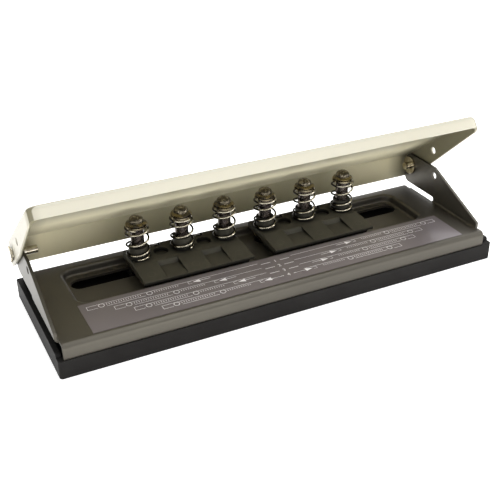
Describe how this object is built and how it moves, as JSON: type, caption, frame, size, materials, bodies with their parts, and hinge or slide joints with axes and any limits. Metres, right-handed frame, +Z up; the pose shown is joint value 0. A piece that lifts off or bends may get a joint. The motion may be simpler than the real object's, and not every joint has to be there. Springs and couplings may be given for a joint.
{
  "type": "planner hole punch",
  "caption": "Desk paper punch with a hinged sheet-steel lever, sliding blocks of sprung punches, a marked deck and a chip tray underneath.",
  "frame": {"origin": "middle of the chip tray's underside", "axes": "+X along the tray to the right as seen from its front, +Y to the back, +Z up"},
  "size_m": [0.1939, 0.063, 0.0608],
  "materials": {
    "frame_paint": "olive grey metallic paint, satin",
    "lever_paint": "ivory enamel, smooth satin",
    "tray_plastic": "black moulded plastic, fine grain",
    "label_film": "printed film, semi-gloss",
    "block_plastic": "dark olive moulded plastic, matte",
    "punch_steel": "turned and hardened steel",
    "plated_steel": "nickel plate",
    "spring_wire": "drawn wire, nickel plate",
    "dark_steel": "blackened steel"
  },
  "bodies": {
    "base": {"frame": "frame_paint", "chip_tray": "tray_plastic", "gauge_label": "label_film", "pivot_pin_left": "dark_steel", "pivot_pin_right": "dark_steel", "pivot_clip_left": "plated_steel", "pivot_clip_right": "plated_steel"},
    "lever": {"press_lever": "lever_paint"},
    "block_left": {"punch_guide_left": "block_plastic", "die_base_left": "block_plastic", "die_plate_left": "plated_steel", "slide_shoe_left": "tray_plastic", "guide_screws_left": "plated_steel", "shoe_screws_left": "plated_steel", "spring_1": "spring_wire", "spring_2": "spring_wire", "spring_3": "spring_wire"},
    "plunger_1": {"punch_1": "punch_steel", "punch_ring_1": "plated_steel"},
    "plunger_2": {"punch_2": "punch_steel", "punch_ring_2": "plated_steel"},
    "plunger_3": {"punch_3": "punch_steel", "punch_ring_3": "plated_steel"},
    "block_right": {"punch_guide_right": "block_plastic", "die_base_right": "block_plastic", "die_plate_right": "plated_steel", "slide_shoe_right": "tray_plastic", "guide_screws_right": "plated_steel", "shoe_screws_right": "plated_steel", "spring_4": "spring_wire", "spring_5": "spring_wire", "spring_6": "spring_wire"},
    "plunger_4": {"punch_4": "punch_steel", "punch_ring_4": "plated_steel"},
    "plunger_5": {"punch_5": "punch_steel", "punch_ring_5": "plated_steel"},
    "plunger_6": {"punch_6": "punch_steel", "punch_ring_6": "plated_steel"}
  },
  "joints": [
    {"name": "lever_hinge", "type": "hinge", "parent": "base", "child": "lever", "pos_m": [0, 0.0221, 0.0243], "axis": [1, 0, 0], "range_deg": [0, 37]},
    {"name": "block_left_slide", "type": "slide", "parent": "base", "child": "block_left", "axis": [1, 0, 0], "range_m": [-0.0254, 0]},
    {"name": "block_right_slide", "type": "slide", "parent": "base", "child": "block_right", "axis": [1, 0, 0], "range_m": [0, 0.0254]},
    {"name": "punch_1_slide", "type": "slide", "parent": "block_left", "child": "plunger_1", "axis": [0, 0, -1], "range_m": [0, 0.0049], "stiffness_N_per_m": 400, "springref_m": -0.004, "deforming": ["spring_1"]},
    {"name": "punch_2_slide", "type": "slide", "parent": "block_left", "child": "plunger_2", "axis": [0, 0, -1], "range_m": [0, 0.0049], "stiffness_N_per_m": 400, "springref_m": -0.004, "deforming": ["spring_2"]},
    {"name": "punch_3_slide", "type": "slide", "parent": "block_left", "child": "plunger_3", "axis": [0, 0, -1], "range_m": [0, 0.0049], "stiffness_N_per_m": 400, "springref_m": -0.004, "deforming": ["spring_3"]},
    {"name": "punch_4_slide", "type": "slide", "parent": "block_right", "child": "plunger_4", "axis": [0, 0, -1], "range_m": [0, 0.0049], "stiffness_N_per_m": 400, "springref_m": -0.004, "deforming": ["spring_4"]},
    {"name": "punch_5_slide", "type": "slide", "parent": "block_right", "child": "plunger_5", "axis": [0, 0, -1], "range_m": [0, 0.0049], "stiffness_N_per_m": 400, "springref_m": -0.004, "deforming": ["spring_5"]},
    {"name": "punch_6_slide", "type": "slide", "parent": "block_right", "child": "plunger_6", "axis": [0, 0, -1], "range_m": [0, 0.0049], "stiffness_N_per_m": 400, "springref_m": -0.004, "deforming": ["spring_6"]}
  ],
  "couplings": [
    {"joint": "punch_1_slide", "follows": "lever_hinge", "m_per_rad": 0.007587},
    {"joint": "punch_2_slide", "follows": "lever_hinge", "m_per_rad": 0.007587},
    {"joint": "punch_3_slide", "follows": "lever_hinge", "m_per_rad": 0.007587},
    {"joint": "punch_4_slide", "follows": "lever_hinge", "m_per_rad": 0.007587},
    {"joint": "punch_5_slide", "follows": "lever_hinge", "m_per_rad": 0.007587},
    {"joint": "punch_6_slide", "follows": "lever_hinge", "m_per_rad": 0.007587}
  ]
}
